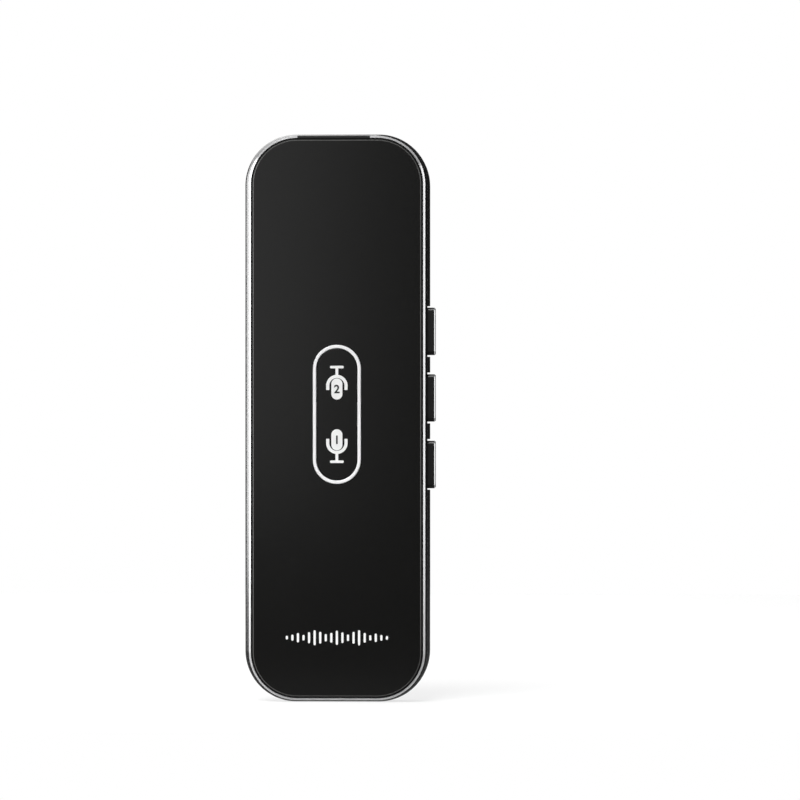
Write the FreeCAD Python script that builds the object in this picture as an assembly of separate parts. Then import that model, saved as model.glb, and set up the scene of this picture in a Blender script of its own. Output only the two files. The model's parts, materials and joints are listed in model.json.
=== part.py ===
import FreeCAD, Part
import math
import os

os.makedirs("parts", exist_ok=True)

# Millimetres. The translator stands upright on its bottom end: +Z runs up its length, the front
# faces -Y and the side buttons are on +X. The origin is the centre of the bottom end.

Vec = FreeCAD.Vector

# Body outline
body_width = 45.6
body_height = 140.0
body_depth = 11.0
corner_radius = 12.6

# Profile of the outer wall, from the bevels at the edges to the flat band in the middle
side_bulge = 1.05
end_bulge = 0.48
flat_band_depth = 3.8
bevel_width = 0.5
bevel_depth = 0.45
edge_land = 0.12
face_proud = 0.2
seam_depth = 1.5
seam_side_inset = 0.55
seam_end_inset = 0.25
seam_step = 0.08

# Walls
side_wall = 2.8
end_wall = 2.2
web_thickness = 1.0
web_gap = 0.1

# The space inside the walls
half_width = body_width / 2
middle_z = body_height / 2
cavity_half_width = half_width - side_wall
cavity_bottom_z = end_wall
cavity_top_z = body_height - end_wall

# Front panel and its tape
panel_thickness = 0.8
panel_gap = 0.35
panel_chamfer = 0.25
tape_thickness = 0.15
tape_margin = 0.3

# Rear cover
cover_thickness = 1.0
cover_gap = 0.12
cover_edge_radius = 0.5
pillar_radius = 1.7
pillar_notch_gap = 0.4

# Speaker holes in the rear cover, by columns
speaker_z = 108.1
speaker_hole_radius = 0.8
speaker_hole_chamfer = 0.15
speaker_column_pitch = 2.96
speaker_columns = [(3, 3.12), (5, 3.12), (6, 3.73), (6, 3.73), (5, 3.12), (3, 3.12)]

# Talk key: an upright rocker in an oval ring
key_z = 70.9
ring_width = 11.8
ring_height = 34.2
ring_stroke = 0.8
ring_proud = 0.25
ring_round = 0.2
ring_panel_gap = 0.05
ring_flange_width = 0.8
ring_flange_thickness = 0.4
ring_web_gap = 0.1
key_gap = 0.15
key_thickness = 1.1
key_edge_round = 0.15
key_window_gap = 0.2

# Rocker pivot
pin_radius = 0.4
pin_drop = 0.8
pin_running_gap = 0.03
pin_seat_gap = 0.01
lug_width = 3.0
lug_radius = 1.0
lug_gap = 0.15
ear_thickness = 1.2
ear_height = 2.0
ear_cover = 0.25
bracket_width = 18.8
bracket_height = 6.0
bracket_thickness = 0.6
bracket_screw_x = 7.6

# Rubber key mat
nub_radius = 1.4
nub_offset = 12.5
nub_gap = 0.05
mat_width = 8.4
mat_height = 31.0
mat_thickness = 0.4
mat_corner_radius = 2.0
dome_height = 1.15
dome_foot_radius = 2.6
dome_top_radius = 1.5
dome_hollow_radius = 1.2
dome_hollow_height = 0.6

# Antenna window in the top of the bezel
window_width = 17.9
window_x = -0.8
window_joint = 0.04

# Side buttons, named from the lowest up
button_names = ["power", "volume_down", "volume_up"]
lowest_button_z = 58.5
button_pitch = 16.45
button_length = 11.7
button_depth = 6.0
button_proud = 1.36
button_corner_radius = 0.9
button_edge_chamfer = 0.25
button_gap = 0.15
button_flange_thickness = 0.65
button_flange_reach = 0.8
button_wall_gap = 0.15
button_travel = 0.3
pocket_depth = 0.75
pocket_margin = 0.45

# Side switches
switch_length = 4.6
switch_depth = 2.5
switch_height = 1.6
plunger_length = 2.2
plunger_height = 0.9
plunger_gap = 0.05
plunger_reach = 0.8
plunger_hold = 1.1
nub_reach = 0.5
nub_margin = 0.3

# Main board
board_thickness = 0.8
board_front_y = -1.2
board_side_gap = 1.8
board_bottom_gap = 3.0
board_top_gap = 4.8
board_width = 2 * (cavity_half_width - board_side_gap)
board_bottom_z = cavity_bottom_z + board_bottom_gap
board_top_z = cavity_top_z - board_top_gap
board_corner_radius = 8.5
board_boss_radius = 1.6

# Screws
housing_screw_radius = 0.7
housing_screw_head_radius = 1.25
housing_screw_head_height = 0.5
housing_screw_length = 5.5
housing_screw_wall_gap = 3.7
housing_screw_end_gap = 7.0
middle_screw_wall_gap = 2.1
middle_screw_z = 48.0
housing_screw_x = cavity_half_width - housing_screw_wall_gap
middle_screw_x = cavity_half_width - middle_screw_wall_gap
housing_screw_positions = [
    (side * x, z)
    for x, z in [
        (housing_screw_x, cavity_bottom_z + housing_screw_end_gap),
        (middle_screw_x, middle_screw_z),
        (housing_screw_x, cavity_top_z - housing_screw_end_gap),
    ]
    for side in (-1, 1)
]
board_screw_radius = 0.6
board_screw_head_radius = 1.15
board_screw_head_height = 0.5
board_screw_length = 2.5
board_screw_side_gap = 4.0
board_screw_bottom_gap = 8.8
board_screw_top_gap = 21.0
board_screw_x = board_width / 2 - board_screw_side_gap
board_screw_positions = [
    (side * board_screw_x, z)
    for z in (board_bottom_z + board_screw_bottom_gap, board_top_z - board_screw_top_gap)
    for side in (-1, 1)
]
bracket_screw_radius = 0.5
bracket_screw_head_radius = 0.9
bracket_screw_head_height = 0.4
bracket_screw_length = 1.25
screw_gap = 0.02
screw_head_gap = 0.1
screw_end_gap = 0.3
drive_slot_width = 0.3

# Charging socket in the bottom end
socket_width = 8.94
socket_height = 3.26
socket_length = 7.35
socket_wall = 0.3
socket_recess = 0.3
socket_hole_gap = 0.18
socket_tab_reach = 0.8
socket_tab_thickness = 0.3
socket_tab_height = 1.2
socket_tab_offset = 1.2
socket_notch_gap = 0.15
tongue_width = 6.7
tongue_thickness = 0.7
tongue_recess = 1.0

# Microphones behind the two end walls
microphone_x = -7.5
microphone_radius = 2.0
microphone_height = 1.5
microphone_hole_radius = 0.5
microphone_pin_radius = 0.2
microphone_pin_spacing = 1.3
microphone_pin_length = 3.0
microphone_pin_gap = 0.02
boot_wall = 0.4
boot_height = 2.8
boot_floor = 0.7

# Battery
battery_height = 62.0
battery_thickness = 4.4
battery_left_gap = 4.1
battery_right_gap = 4.9
battery_width = 2 * cavity_half_width - battery_left_gap - battery_right_gap
battery_x = (battery_left_gap - battery_right_gap) / 2
battery_bottom_z = 22.0
battery_round = 1.4
battery_tape_thickness = 0.15
battery_tape_margin = 3.0
circuit_side_gap = 2.5
circuit_width = battery_width - 2 * circuit_side_gap
circuit_height = 3.0
circuit_thickness = 1.8

# Battery leads and connector
lead_radius = 0.35
lead_spacing = 1.25
lead_bend_radius = 1.6
lead_rise = 4.0
connector_x = -5.0
header_width = 5.0
header_height = 3.4
header_thickness = 1.9
header_wall = 0.4
plug_gap = 0.1

# Speaker
speaker_radius = 11.5
speaker_height = 3.2
speaker_rim_width = 1.1
basket_wall = 0.5
basket_depth = 2.5
yoke_radius = 5.6
yoke_wall = 0.6
yoke_height = 1.9
magnet_radius = 4.2
magnet_height = 1.1
coil_radius = 4.75
coil_wall = 0.2
coil_height = 1.0
coil_reach = 0.5
cone_thickness = 0.15
cone_rise = 0.8
gasket_thickness = 0.45
mesh_thickness = 0.15
rib_gap = 0.2
rib_wall = 0.8
rib_height = 1.6
contact_x = 8.5
contact_width = 1.2
contact_strip = 0.15
contact_foot = 1.6
contact_run = 1.2

# Antenna strip under the window
antenna_strip = 0.3
antenna_left_x = -4.5
antenna_right_x = 8.0
antenna_leg_width = 1.2
antenna_gap = 0.2
antenna_leg_overlap = 1.6
antenna_web_gap = 0.25

# State light
light_x = 0.0
light_z = 100.0
light_guide_radius = 1.0
light_guide_gap = 0.05
light_collar_radius = 1.6
light_collar_thickness = 0.5
lamp_width = 1.6
lamp_height = 0.8
lamp_thickness = 0.6
lamp_gap = 0.1

# Parts soldered to the back of the board: x, z, width, height, thickness
radio_row_top_gap = 7.6
amplifier_battery_gap = 7.4
power_row_bottom_gap = 9.8
radio_row_z = board_top_z - radio_row_top_gap
amplifier_z = battery_bottom_z + battery_height + amplifier_battery_gap
power_row_z = board_bottom_z + power_row_bottom_gap
shield_box = (-6.5, radio_row_z, 14.0, 9.6, 1.5)
shield_wall = 0.2
chip_boxes = {
    "system_chip": (-8.6, radio_row_z, 6.0, 6.0, 0.85),
    "crystal": (-2.2, radio_row_z, 2.5, 2.0, 0.6),
    "memory_chip": (7.5, radio_row_z + 0.2, 6.0, 5.0, 0.8),
    "amplifier_chip": (9.0, amplifier_z, 3.0, 3.0, 0.75),
    "charger_chip": (-9.0, power_row_z, 4.0, 4.0, 0.9),
    "power_inductor": (9.0, power_row_z, 3.0, 3.0, 1.2),
}
capacitor_width = 1.0
capacitor_height = 0.5
capacitor_thickness = 0.5
capacitor_pitch = 1.6
charger_row_low_gap = 2.5
charger_row_high_gap = 3.5
capacitor_rows = [
    (-4.0, power_row_z - charger_row_low_gap, 9.6),
    (-4.0, power_row_z + charger_row_high_gap, 9.6),
    (1.0, amplifier_z - 1.8, 6.4),
    (1.0, amplifier_z + 2.0, 6.4),
    (12.5, radio_row_z - 1.4, 3.2),
]

# Places worked out from the sizes above
front_y = -body_depth / 2
rear_y = body_depth / 2
edge_front_y = front_y + face_proud
edge_rear_y = rear_y - face_proud
bevel_front_y = edge_front_y + bevel_depth
bevel_rear_y = edge_rear_y - bevel_depth
band_y = flat_band_depth / 2
seam_y = front_y + seam_depth
panel_back_y = front_y + panel_thickness
web_front_y = panel_back_y + tape_thickness
web_back_y = web_front_y + web_thickness
cover_inner_y = rear_y - cover_thickness
board_back_y = board_front_y + board_thickness
key_back_y = front_y + key_thickness
pin_y = key_back_y + pin_drop
overcut = 1.0


def box(x0, x1, y0, y1, z0, z1):
    return Part.makeBox(x1 - x0, y1 - y0, z1 - z0, Vec(x0, y0, z0))


def rod_x(x0, x1, y, z, radius):
    return Part.makeCylinder(radius, x1 - x0, Vec(x0, y, z), Vec(1, 0, 0))


def rod_y(x, y0, y1, z, radius):
    return Part.makeCylinder(radius, y1 - y0, Vec(x, y0, z), Vec(0, 1, 0))


def rod_z(x, y, z0, z1, radius):
    return Part.makeCylinder(radius, z1 - z0, Vec(x, y, z0), Vec(0, 0, 1))


def cone_y(x, y0, y1, z, radius0, radius1):
    return Part.makeCone(radius0, radius1, y1 - y0, Vec(x, y0, z), Vec(0, 1, 0))


def outline(width, height, radius, y, z=middle_z, x=0.0):
    """An upright rounded rectangle as a closed wire in the plane at depth y."""
    half_w = width / 2
    half_h = height / 2
    corners = [(1, 1, 0), (-1, 1, 90), (-1, -1, 180), (1, -1, 270)]
    arcs = []
    for x_sign, z_sign, start in corners:
        centre_x = x + x_sign * (half_w - radius)
        centre_z = z + z_sign * (half_h - radius)
        points = []
        for step in (0, 45, 90):
            angle = math.radians(start + step)
            points.append(Vec(centre_x + radius * math.cos(angle), y, centre_z + radius * math.sin(angle)))
        arcs.append(points)
    edges = []
    for number, points in enumerate(arcs):
        following = arcs[(number + 1) % len(arcs)]
        edges.append(Part.Arc(*points).toShape())
        edges.append(Part.LineSegment(points[-1], following[0]).toShape())
    return Part.Wire(edges)


def stadium(width, height, y, z):
    """An upright oval with straight sides and round ends as a closed wire at depth y."""
    radius = width / 2
    reach = height / 2 - radius
    right_low = Vec(radius, y, z - reach)
    right_high = Vec(radius, y, z + reach)
    left_high = Vec(-radius, y, z + reach)
    left_low = Vec(-radius, y, z - reach)
    top = Vec(0, y, z + height / 2)
    bottom = Vec(0, y, z - height / 2)
    edges = [
        Part.LineSegment(right_low, right_high).toShape(),
        Part.Arc(right_high, top, left_high).toShape(),
        Part.LineSegment(left_high, left_low).toShape(),
        Part.Arc(left_low, bottom, right_low).toShape(),
    ]
    return Part.Wire(edges)


def prism(wire, y1):
    """The solid from a wire in one depth plane back to depth y1."""
    y0 = wire.BoundBox.YMin
    return Part.Face(wire).extrude(Vec(0, y1 - y0, 0))


def wall_outline(y, side_inset, end_inset):
    """The body's outline at depth y, drawn in from the widest outline."""
    radius = corner_radius - (side_inset + end_inset) / 2
    return outline(body_width - 2 * side_inset, body_height - 2 * end_inset, radius, y)


def pocket_outline(y, gap=0.0):
    """The recess that the front panel or the rear cover fills."""
    edge = bevel_width + edge_land + gap
    return wall_outline(y, side_bulge + edge, end_bulge + edge)


def cavity_outline(y, gap=0.0):
    return wall_outline(y, side_wall + gap, end_wall + gap)


def slab(*wires):
    """A solid with straight sides between outlines at two or more depths."""
    return Part.makeLoft(list(wires), True, True)


def swell(y0, y1, side0, end0):
    """The curved stretch of the wall from its inset edge at y0 to the flat band at y1."""
    steps = (1.0, 0.5, 0.0)
    wires = [wall_outline(y1 + (y0 - y1) * step, side0 * step**2, end0 * step**2) for step in steps]
    return Part.makeLoft(wires, True, False)


def edges_at_y(shape, y):
    """The edges that lie wholly in the plane at depth y."""
    found = []
    for edge in shape.Edges:
        if abs(edge.BoundBox.YMin - y) < 1e-4 and abs(edge.BoundBox.YMax - y) < 1e-4:
            found.append(edge)
    return found


def screw(x, z, seat_y, points_back, shaft_radius, length, head_radius, head_height):
    """A screw along Y with its head on seat_y. points_back is 1 if it points to +Y, else -1."""
    back = Vec(0, points_back, 0)
    seat = Vec(x, seat_y, z)
    shaft = Part.makeCylinder(shaft_radius, length, seat, back)
    head = Part.makeCylinder(head_radius, head_height, seat, back * -1)
    slot_y = seat_y - points_back * head_height
    depths = sorted([slot_y - points_back * drive_slot_width, slot_y + points_back * head_height / 2])
    reach = head_radius * 0.6
    half_slot = drive_slot_width / 2
    across = box(x - reach, x + reach, depths[0], depths[1], z - half_slot, z + half_slot)
    upright = box(x - half_slot, x + half_slot, depths[0], depths[1], z - reach, z + reach)
    return shaft.fuse(head).cut(across).cut(upright)


def tube(points, radius, bend_radius):
    """A round wire along straight runs joined by tangent arcs."""
    edges = []
    start = points[0]
    for before, corner, after in zip(points, points[1:], points[2:]):
        towards_start = (before - corner).normalize()
        towards_end = (after - corner).normalize()
        half_angle = towards_start.getAngle(towards_end) / 2
        setback = bend_radius / math.tan(half_angle)
        bisector = (towards_start + towards_end).normalize()
        centre = corner + bisector * (bend_radius / math.sin(half_angle))
        arc_start = corner + towards_start * setback
        arc_middle = centre - bisector * bend_radius
        arc_end = corner + towards_end * setback
        edges.append(Part.LineSegment(start, arc_start).toShape())
        edges.append(Part.Arc(arc_start, arc_middle, arc_end).toShape())
        start = arc_end
    edges.append(Part.LineSegment(start, points[-1]).toShape())
    path = Part.Wire(edges)
    section = Part.Wire(Part.makeCircle(radius, points[0], points[1] - points[0]))
    return path.makePipeShell([section], True, False)


def window_notch(joint):
    """The stretch of the bezel's top that the antenna window fills."""
    half = window_width / 2 - joint
    top = body_height + overcut
    return box(window_x - half, window_x + half, front_y - overcut, seam_y - joint, cavity_top_z + joint, top)


def bezel_blank():
    """The bezel ring with its bevel, and the shelf and web that carry the front panel."""
    edge = bevel_width + edge_land
    land = wall_outline(edge_front_y, side_bulge + bevel_width, end_bulge + bevel_width)
    shoulder = wall_outline(bevel_front_y, side_bulge, end_bulge)
    seam = wall_outline(seam_y, seam_side_inset, seam_end_inset)
    ring = slab(land, shoulder).fuse(slab(shoulder, seam))
    ring = ring.cut(prism(wall_outline(front_y - overcut, side_bulge + edge, end_bulge + edge), web_front_y))
    return ring.fuse(prism(cavity_outline(seam_y, web_gap), web_back_y))


def button_z(number):
    return lowest_button_z + number * button_pitch


def button_pocket(number):
    """The shallow flat pocket in the outer wall round one side button."""
    floor_x = half_width - pocket_depth
    half_length = button_length / 2 + pocket_margin
    z = button_z(number)
    return box(floor_x, half_width + overcut, front_y, rear_y, z - half_length, z + half_length)


def front_housing():
    housing = bezel_blank()
    for x, z in board_screw_positions:
        housing = housing.fuse(rod_y(x, web_back_y - tape_thickness, board_front_y, z, board_boss_radius))
    flange_width = ring_width + 2 * (ring_flange_width + ring_web_gap)
    flange_height = ring_height + 2 * (ring_flange_width + ring_web_gap)
    opening_width = ring_width - 2 * ring_stroke + 2 * key_window_gap
    opening_height = ring_height - 2 * ring_stroke + 2 * key_window_gap
    cuts = [
        window_notch(0.0),
        prism(stadium(flange_width, flange_height, front_y, key_z), panel_back_y + ring_flange_thickness),
        prism(stadium(opening_width, opening_height, front_y, key_z), web_back_y + overcut),
        rod_y(light_x, front_y, web_back_y + overcut, light_z, light_guide_radius + light_guide_gap),
    ]
    for x, z in housing_screw_positions:
        seat_y = web_front_y + housing_screw_head_height + screw_head_gap / 2
        cuts.append(rod_y(x, front_y, seat_y, z, housing_screw_head_radius + screw_head_gap))
        cuts.append(rod_y(x, front_y, web_back_y + overcut, z, housing_screw_radius + screw_gap))
    for x, z in board_screw_positions:
        hole_y = board_back_y - board_screw_length - screw_end_gap
        cuts.append(rod_y(x, hole_y, board_front_y + overcut, z, board_screw_radius + screw_gap))
    for x in (-bracket_screw_x, bracket_screw_x):
        hole_y = web_back_y + bracket_thickness - bracket_screw_length - screw_gap
        cuts.append(rod_y(x, hole_y, web_back_y + overcut, key_z, bracket_screw_radius + screw_gap))
    for number in range(len(button_names)):
        cuts.append(button_pocket(number))
    return housing.cut(cuts)


def antenna_window():
    return bezel_blank().common(window_notch(window_joint))


def side_frame():
    """The side band of the case with its rear bevel, seen from the sides as a gentle swell."""
    front = swell(seam_y, -band_y, seam_side_inset + seam_step, seam_end_inset + seam_step)
    band = prism(wall_outline(-band_y, 0, 0), band_y)
    rear = swell(bevel_rear_y, band_y, side_bulge, end_bulge)
    shoulder = wall_outline(bevel_rear_y, side_bulge, end_bulge)
    land = wall_outline(edge_rear_y, side_bulge + bevel_width, end_bulge + bevel_width)
    frame = front.fuse([band, rear, slab(shoulder, land)])
    cuts = [
        prism(cavity_outline(seam_y - overcut), cover_inner_y + overcut),
        prism(pocket_outline(cover_inner_y), rear_y + overcut),
        socket_shape(socket_hole_gap, -overcut, end_wall + overcut),
        rod_z(microphone_x, 0, -overcut, end_wall + overcut, microphone_hole_radius),
        rod_z(microphone_x, 0, cavity_top_z - overcut, body_height + overcut, microphone_hole_radius),
    ]
    for number in range(len(button_names)):
        cuts.append(button_pocket(number))
        cuts.append(button_block(number, cavity_half_width - overcut, half_width + overcut, button_gap))
    return frame.cut(cuts)


def rear_cover():
    cover = prism(pocket_outline(cover_inner_y, cover_gap), rear_y)
    cover = cover.makeFillet(cover_edge_radius, edges_at_y(cover, rear_y))
    rib_inner = speaker_radius + rib_gap
    rib = rod_y(0, cover_inner_y - rib_height, cover_inner_y, speaker_z, rib_inner + rib_wall)
    rib = rib.cut(rod_y(0, cover_inner_y - rib_height, cover_inner_y, speaker_z, rib_inner))
    cover = cover.fuse(rib)
    for x, z in housing_screw_positions:
        pillar = rod_y(x, web_back_y, cover_inner_y, z, pillar_radius)
        pilot_y = web_front_y + housing_screw_length + housing_screw_head_height + screw_end_gap
        pilot = rod_y(x, web_back_y, pilot_y, z, housing_screw_radius + screw_gap)
        cover = cover.fuse(pillar).cut(pilot)
    cuts = []
    chamfer_y = rear_y - speaker_hole_chamfer
    wide = speaker_hole_radius + speaker_hole_chamfer
    for column, (count, pitch) in enumerate(speaker_columns):
        x = (column - (len(speaker_columns) - 1) / 2) * speaker_column_pitch
        for row in range(count):
            z = speaker_z + (row - (count - 1) / 2) * pitch
            cuts.append(rod_y(x, cover_inner_y - overcut, rear_y, z, speaker_hole_radius))
            cuts.append(cone_y(x, chamfer_y, rear_y, z, speaker_hole_radius, wide))
    return cover.cut(cuts)


def front_panel():
    face = pocket_outline(front_y, panel_gap + panel_chamfer)
    shoulder = pocket_outline(front_y + panel_chamfer, panel_gap)
    panel = slab(face, shoulder).fuse(prism(shoulder, panel_back_y))
    opening_width = ring_width + 2 * ring_panel_gap
    opening_height = ring_height + 2 * ring_panel_gap
    return panel.cut(prism(stadium(opening_width, opening_height, front_y - overcut, key_z), panel_back_y + overcut))


def panel_tape():
    tape = prism(pocket_outline(panel_back_y, panel_gap + tape_margin), web_front_y)
    opening_width = ring_width + 2 * (ring_flange_width + tape_margin)
    opening_height = ring_height + 2 * (ring_flange_width + tape_margin)
    cuts = [
        prism(stadium(opening_width, opening_height, front_y, key_z), web_back_y),
        rod_y(light_x, front_y, web_back_y, light_z, light_guide_radius + tape_margin),
    ]
    return tape.cut(cuts)


def key_ring():
    inner_width = ring_width - 2 * ring_stroke
    inner_height = ring_height - 2 * ring_stroke
    rim_y = front_y - ring_proud
    flange_y = panel_back_y + ring_flange_thickness
    rim = prism(stadium(ring_width, ring_height, rim_y, key_z), flange_y)
    rim = rim.cut(prism(stadium(inner_width, inner_height, rim_y, key_z), flange_y))
    rim = rim.makeFillet(ring_round, edges_at_y(rim, rim_y))
    flange_width = ring_width + 2 * ring_flange_width
    flange_height = ring_height + 2 * ring_flange_width
    flange = prism(stadium(flange_width, flange_height, panel_back_y, key_z), flange_y)
    flange = flange.cut(prism(stadium(inner_width, inner_height, panel_back_y, key_z), flange_y))
    return rim.fuse(flange)


def rocker_key():
    """The oval key with its pivot lug and the two nubs that press the rubber domes."""
    width = ring_width - 2 * (ring_stroke + key_gap)
    height = ring_height - 2 * (ring_stroke + key_gap)
    cap = prism(stadium(width, height, front_y, key_z), key_back_y)
    cap = cap.makeFillet(key_edge_round, edges_at_y(cap, front_y))
    half_lug = lug_width / 2
    lug = box(-half_lug, half_lug, key_back_y, pin_y, key_z - lug_radius, key_z + lug_radius)
    lug = lug.fuse(rod_x(-half_lug, half_lug, pin_y, key_z, lug_radius))
    nub_y = board_front_y - mat_thickness - dome_height - nub_gap
    nubs = [rod_y(0, key_back_y, nub_y, key_z + side * nub_offset, nub_radius) for side in (-1, 1)]
    key = cap.fuse([lug] + nubs)
    return key.cut(rod_x(-half_lug, half_lug, pin_y, key_z, pin_radius + pin_running_gap))


def pivot_bracket():
    """The plate behind the web whose two ears hold the rocker's pin."""
    back_y = web_back_y + bracket_thickness
    half_w = bracket_width / 2
    half_h = bracket_height / 2
    bracket = box(-half_w, half_w, web_back_y, back_y, key_z - half_h, key_z + half_h)
    ear_in = lug_width / 2 + lug_gap
    ear_out = ear_in + ear_thickness
    ear_y = pin_y - pin_radius - ear_cover
    slot_z = lug_radius + lug_gap
    cuts = [box(-ear_in, ear_in, ear_y, back_y, key_z - slot_z, key_z + slot_z)]
    for side in (-1, 1):
        low, high = sorted([side * ear_in, side * ear_out])
        ear = box(low, high, ear_y, back_y, key_z - ear_height / 2, key_z + ear_height / 2)
        bracket = bracket.fuse(ear)
        hole_x = side * bracket_screw_x
        cuts.append(rod_y(hole_x, web_back_y, back_y, key_z, bracket_screw_radius + screw_gap))
    cuts.append(rod_x(-ear_out, ear_out, pin_y, key_z, pin_radius + pin_seat_gap))
    return bracket.cut(cuts)


def rocker_pin():
    reach = lug_width / 2 + lug_gap + ear_thickness
    return rod_x(-reach, reach, pin_y, key_z, pin_radius)


def bracket_screws():
    seat_y = web_back_y + bracket_thickness
    sizes = (bracket_screw_radius, bracket_screw_length, bracket_screw_head_radius, bracket_screw_head_height)
    return [screw(x, key_z, seat_y, -1, *sizes) for x in (-bracket_screw_x, bracket_screw_x)]


def key_mat():
    """The rubber mat on the board, with a hollow dome under each end of the rocker."""
    sheet_y = board_front_y - mat_thickness
    mat = prism(outline(mat_width, mat_height, mat_corner_radius, sheet_y, key_z), board_front_y)
    for side in (-1, 1):
        z = key_z + side * nub_offset
        mat = mat.fuse(cone_y(0, sheet_y - dome_height, sheet_y, z, dome_top_radius, dome_foot_radius))
        mat = mat.cut(rod_y(0, board_front_y - dome_hollow_height, board_front_y, z, dome_hollow_radius))
    return mat


def housing_screws():
    seat_y = web_front_y + housing_screw_head_height + screw_head_gap / 2
    sizes = (housing_screw_radius, housing_screw_length, housing_screw_head_radius, housing_screw_head_height)
    return [screw(x, z, seat_y, 1, *sizes) for x, z in housing_screw_positions]


def board_screws():
    sizes = (board_screw_radius, board_screw_length, board_screw_head_radius, board_screw_head_height)
    return [screw(x, z, board_back_y, -1, *sizes) for x, z in board_screw_positions]


def main_board():
    height = board_top_z - board_bottom_z
    board_z = (board_top_z + board_bottom_z) / 2
    board = prism(outline(board_width, height, board_corner_radius, board_front_y, board_z), board_back_y)
    y0 = board_front_y - overcut
    y1 = board_back_y + overcut
    notch = socket_width / 2 + socket_notch_gap
    notch_top = socket_recess + socket_length + socket_notch_gap
    cuts = [box(-notch, notch, y0, y1, board_bottom_z - overcut, notch_top)]
    for x, z in housing_screw_positions:
        cuts.append(rod_y(x, y0, y1, z, pillar_radius + pillar_notch_gap))
    for x, z in board_screw_positions:
        cuts.append(rod_y(x, y0, y1, z, board_screw_radius + screw_head_gap))
    return board.cut(cuts)


def plunger_centre_y():
    return board_back_y + switch_height / 2


def button_block(number, x0, x1, gap=0.0):
    """One button's rounded upright block from x0 to x1, enlarged all round by gap."""
    half_d = button_depth / 2 + gap
    half_l = button_length / 2 + gap
    block = box(x0, x1, -half_d, half_d, button_z(number) - half_l, button_z(number) + half_l)
    long_edges = []
    for edge in block.Edges:
        if edge.BoundBox.XLength > (x1 - x0) / 2:
            long_edges.append(edge)
    return block.makeFillet(button_corner_radius + gap, long_edges)


def side_button(number):
    """A button cap with its retaining flange and the nub that meets the switch plunger."""
    flange_x1 = cavity_half_width - button_wall_gap
    flange_x0 = flange_x1 - button_flange_thickness
    outer_x = half_width + button_proud
    cap = button_block(number, flange_x0, outer_x)
    rim = []
    for edge in cap.Edges:
        if edge.BoundBox.XMin > outer_x - 1e-4:
            rim.append(edge)
    cap = cap.makeChamfer(button_edge_chamfer, rim)
    z = button_z(number)
    half_l = button_length / 2 + button_flange_reach
    half_d = button_depth / 2 - button_corner_radius
    flange = box(flange_x0, flange_x1, -half_d, half_d, z - half_l, z + half_l)
    nub_d = plunger_height / 2 + nub_margin
    nub_l = plunger_length / 2 + nub_margin
    y = plunger_centre_y()
    nub = box(flange_x0 - nub_reach, flange_x0, y - nub_d, y + nub_d, z - nub_l, z + nub_l)
    return cap.fuse([flange, nub])


def plunger_tip_x():
    return cavity_half_width - button_wall_gap - button_flange_thickness - nub_reach


def switch_plunger(number, gap=0.0, extra=0.0):
    """The small key of a side switch, from inside its case out to the button's nub."""
    x1 = plunger_tip_x()
    x0 = x1 - plunger_reach - plunger_hold - extra
    half_d = plunger_height / 2 + gap
    half_l = plunger_length / 2 + gap
    y = plunger_centre_y()
    z = button_z(number)
    return box(x0, x1 + gap, y - half_d, y + half_d, z - half_l, z + half_l)


def side_switch(number):
    x1 = plunger_tip_x() - plunger_reach
    half_l = switch_length / 2
    z = button_z(number)
    case = box(x1 - switch_depth, x1, board_back_y, board_back_y + switch_height, z - half_l, z + half_l)
    return case.cut(switch_plunger(number, plunger_gap, button_travel + plunger_gap))


def socket_shape(gap, z0, z1):
    """The charging socket's oval section, enlarged by gap, from z0 to z1."""
    half_w = socket_width / 2 + gap
    half_h = socket_height / 2 + gap
    middle = box(-half_w + half_h, half_w - half_h, -half_h, half_h, z0, z1)
    ends = [rod_z(side * (half_w - half_h), 0, z0, z1, half_h) for side in (-1, 1)]
    return middle.fuse(ends).removeSplitter()


def charging_socket():
    """The metal shell of the charging socket, closed at its back, with a solder tab each side."""
    top_z = socket_recess + socket_length
    shell = socket_shape(0, socket_recess, top_z)
    shell = shell.cut(socket_shape(-socket_wall, socket_recess - overcut, top_z - socket_wall))
    tab_z = board_bottom_z + socket_tab_offset
    for side in (-1, 1):
        low, high = sorted([side * (socket_width / 2 - socket_wall / 2), side * (socket_width / 2 + socket_tab_reach)])
        tab_y = board_back_y + socket_tab_thickness
        shell = shell.fuse(box(low, high, board_back_y, tab_y, tab_z, tab_z + socket_tab_height))
    inside = socket_shape(-socket_wall, socket_recess - overcut, top_z - socket_wall)
    return shell.cut(inside)


def socket_tongue():
    top_z = socket_recess + socket_length - socket_wall
    half_w = tongue_width / 2
    half_t = tongue_thickness / 2
    return box(-half_w, half_w, -half_t, half_t, socket_recess + tongue_recess, top_z)


def microphone(wall_z, inward):
    """A round microphone capsule facing a sound hole, with two pins laid on the board."""
    face_z = wall_z + inward * boot_floor
    back_z = face_z + inward * microphone_height
    low, high = sorted([face_z, back_z])
    capsule = rod_z(microphone_x, 0, low, high, microphone_radius)
    pin_y_ = board_back_y + microphone_pin_radius + microphone_pin_gap
    low, high = sorted([back_z, back_z + inward * microphone_pin_length])
    pins = []
    for side in (-1, 1):
        pins.append(rod_z(microphone_x + side * microphone_pin_spacing / 2, pin_y_, low, high, microphone_pin_radius))
    return capsule.fuse(pins)


def microphone_boot(wall_z, inward):
    """The rubber cup that seals a microphone to its sound hole."""
    low, high = sorted([wall_z, wall_z + inward * boot_height])
    cup = rod_z(microphone_x, 0, low, high, microphone_radius + boot_wall)
    low, high = sorted([wall_z + inward * boot_floor, wall_z + inward * (boot_height + overcut)])
    cup = cup.cut(rod_z(microphone_x, 0, low, high, microphone_radius))
    low, high = sorted([wall_z - inward * overcut, wall_z + inward * boot_height])
    return cup.cut(rod_z(microphone_x, 0, low, high, microphone_hole_radius))


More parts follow.
